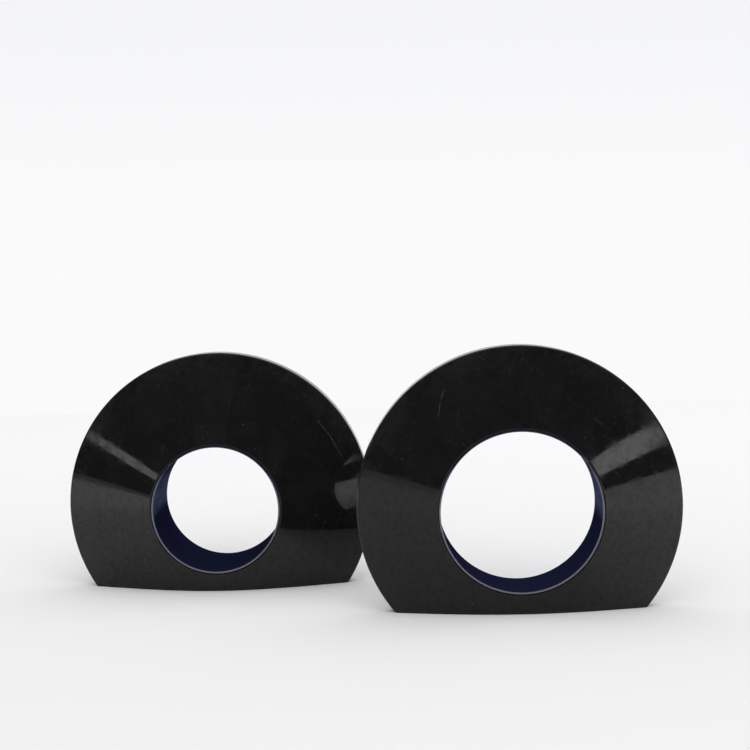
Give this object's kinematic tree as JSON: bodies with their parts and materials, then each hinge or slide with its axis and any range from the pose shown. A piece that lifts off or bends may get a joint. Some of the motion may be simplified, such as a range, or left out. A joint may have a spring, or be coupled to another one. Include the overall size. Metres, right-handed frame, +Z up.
{
  "type": "castanets",
  "caption": "Ring-shaped hand clappers that stand on flat feet: hollow double-cone shells, each round a sleeved bore, struck together by hand.",
  "frame": {"origin": "middle of the right clapper's foot, on the surface that both clappers stand on", "axes": "+Z up; +Y along the right clapper's bore, from its front to its rear; +X to the right seen from the front"},
  "size_m": [0.1564, 0.0654, 0.0653],
  "materials": {
    "black_shell": "polished black, with handling scuffs and dust",
    "navy_sleeve": "polished dark navy blue"
  },
  "bodies": {
    "right_clapper": {"right_front_shell": "black_shell", "right_rear_shell": "black_shell", "right_bore_sleeve": "navy_sleeve"},
    "left_clapper": {"left_front_shell": "black_shell", "left_rear_shell": "black_shell", "left_bore_sleeve": "navy_sleeve"}
  },
  "joints": [
    {"name": "clap", "type": "slide", "parent": "right_clapper", "child": "left_clapper", "axis": [0.9754, -0.2202, 0], "range_m": [0, 0.07832]}
  ]
}
